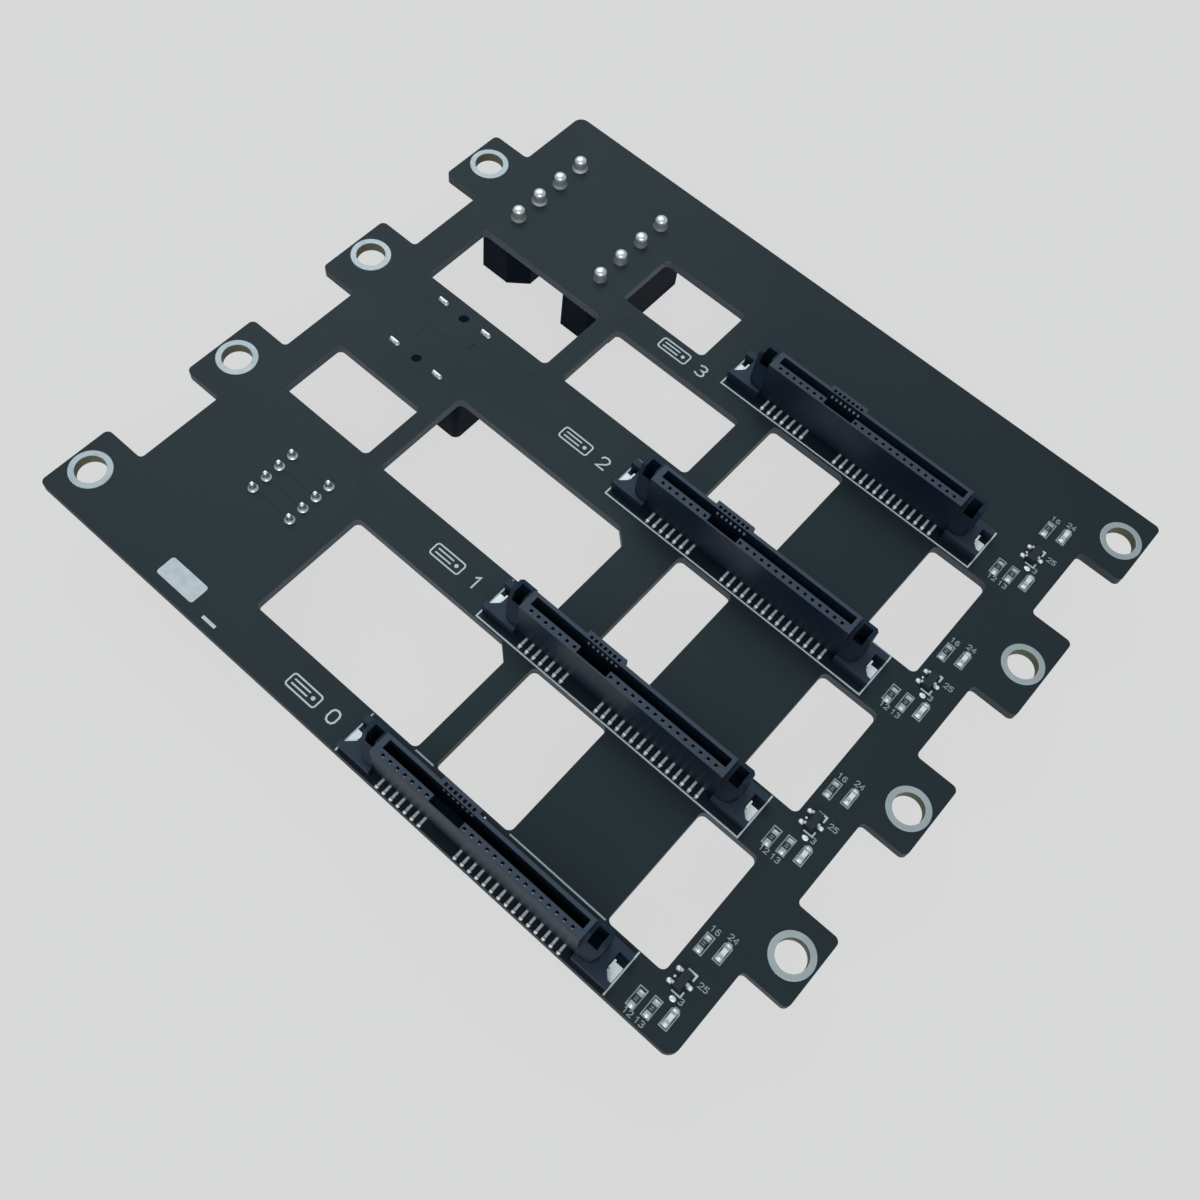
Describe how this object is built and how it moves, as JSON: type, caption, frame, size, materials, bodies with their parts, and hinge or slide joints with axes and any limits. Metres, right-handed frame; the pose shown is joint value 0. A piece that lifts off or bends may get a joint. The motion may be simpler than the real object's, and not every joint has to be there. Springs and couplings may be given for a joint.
{
  "type": "drive backplane board",
  "caption": "Flat drive backplane board with air cut-outs and side fixing tabs, slotted drive connectors on one face, power, fan and data sockets on the other.",
  "frame": {"origin": "middle of the board's main outline, on its drive-side face", "axes": "+Z out of the drive-side face towards the drives, +X along the drive connectors from the signal end to the power end, +Y from the first bay to the last"},
  "size_m": [0.1244, 0.1084, 0.0214],
  "materials": {
    "solder_mask": "satin",
    "tin_plate": "satin",
    "black_plastic": "satin",
    "contact_metal": "satin",
    "clip_metal": "satin",
    "shroud_plastic": "satin",
    "resistor_body": "satin",
    "lamp_body": "satin",
    "transistor_plastic": "satin"
  },
  "bodies": {
    "root": {"board": "solder_mask", "mounting_rings": "tin_plate", "drive_housing_0": "black_plastic", "signal_contacts_0": "contact_metal", "power_contacts_0": "contact_metal", "second_port_contacts_0": "contact_metal", "hold_down_clips_0": "clip_metal", "resistors_0": "resistor_body", "status_lamps_0": "lamp_body", "transistor_body_0": "transistor_plastic", "drive_housing_1": "black_plastic", "signal_contacts_1": "contact_metal", "power_contacts_1": "contact_metal", "second_port_contacts_1": "contact_metal", "hold_down_clips_1": "clip_metal", "resistors_1": "resistor_body", "status_lamps_1": "lamp_body", "transistor_body_1": "transistor_plastic", "drive_housing_2": "black_plastic", "signal_contacts_2": "contact_metal", "power_contacts_2": "contact_metal", "second_port_contacts_2": "contact_metal", "hold_down_clips_2": "clip_metal", "resistors_2": "resistor_body", "status_lamps_2": "lamp_body", "transistor_body_2": "transistor_plastic", "drive_housing_3": "black_plastic", "signal_contacts_3": "contact_metal", "power_contacts_3": "contact_metal", "second_port_contacts_3": "contact_metal", "hold_down_clips_3": "clip_metal", "resistors_3": "resistor_body", "status_lamps_3": "lamp_body", "transistor_body_3": "transistor_plastic", "transistor_legs": "contact_metal", "power_header_a": "shroud_plastic", "power_header_b": "shroud_plastic", "power_pins_a": "contact_metal", "power_pins_b": "contact_metal", "fan_header_a": "shroud_plastic", "fan_header_b": "shroud_plastic", "fan_pins_a": "contact_metal", "fan_pins_b": "contact_metal", "data_port": "black_plastic", "data_port_legs": "clip_metal", "data_port_contacts": "contact_metal"}
  },
  "joints": []
}
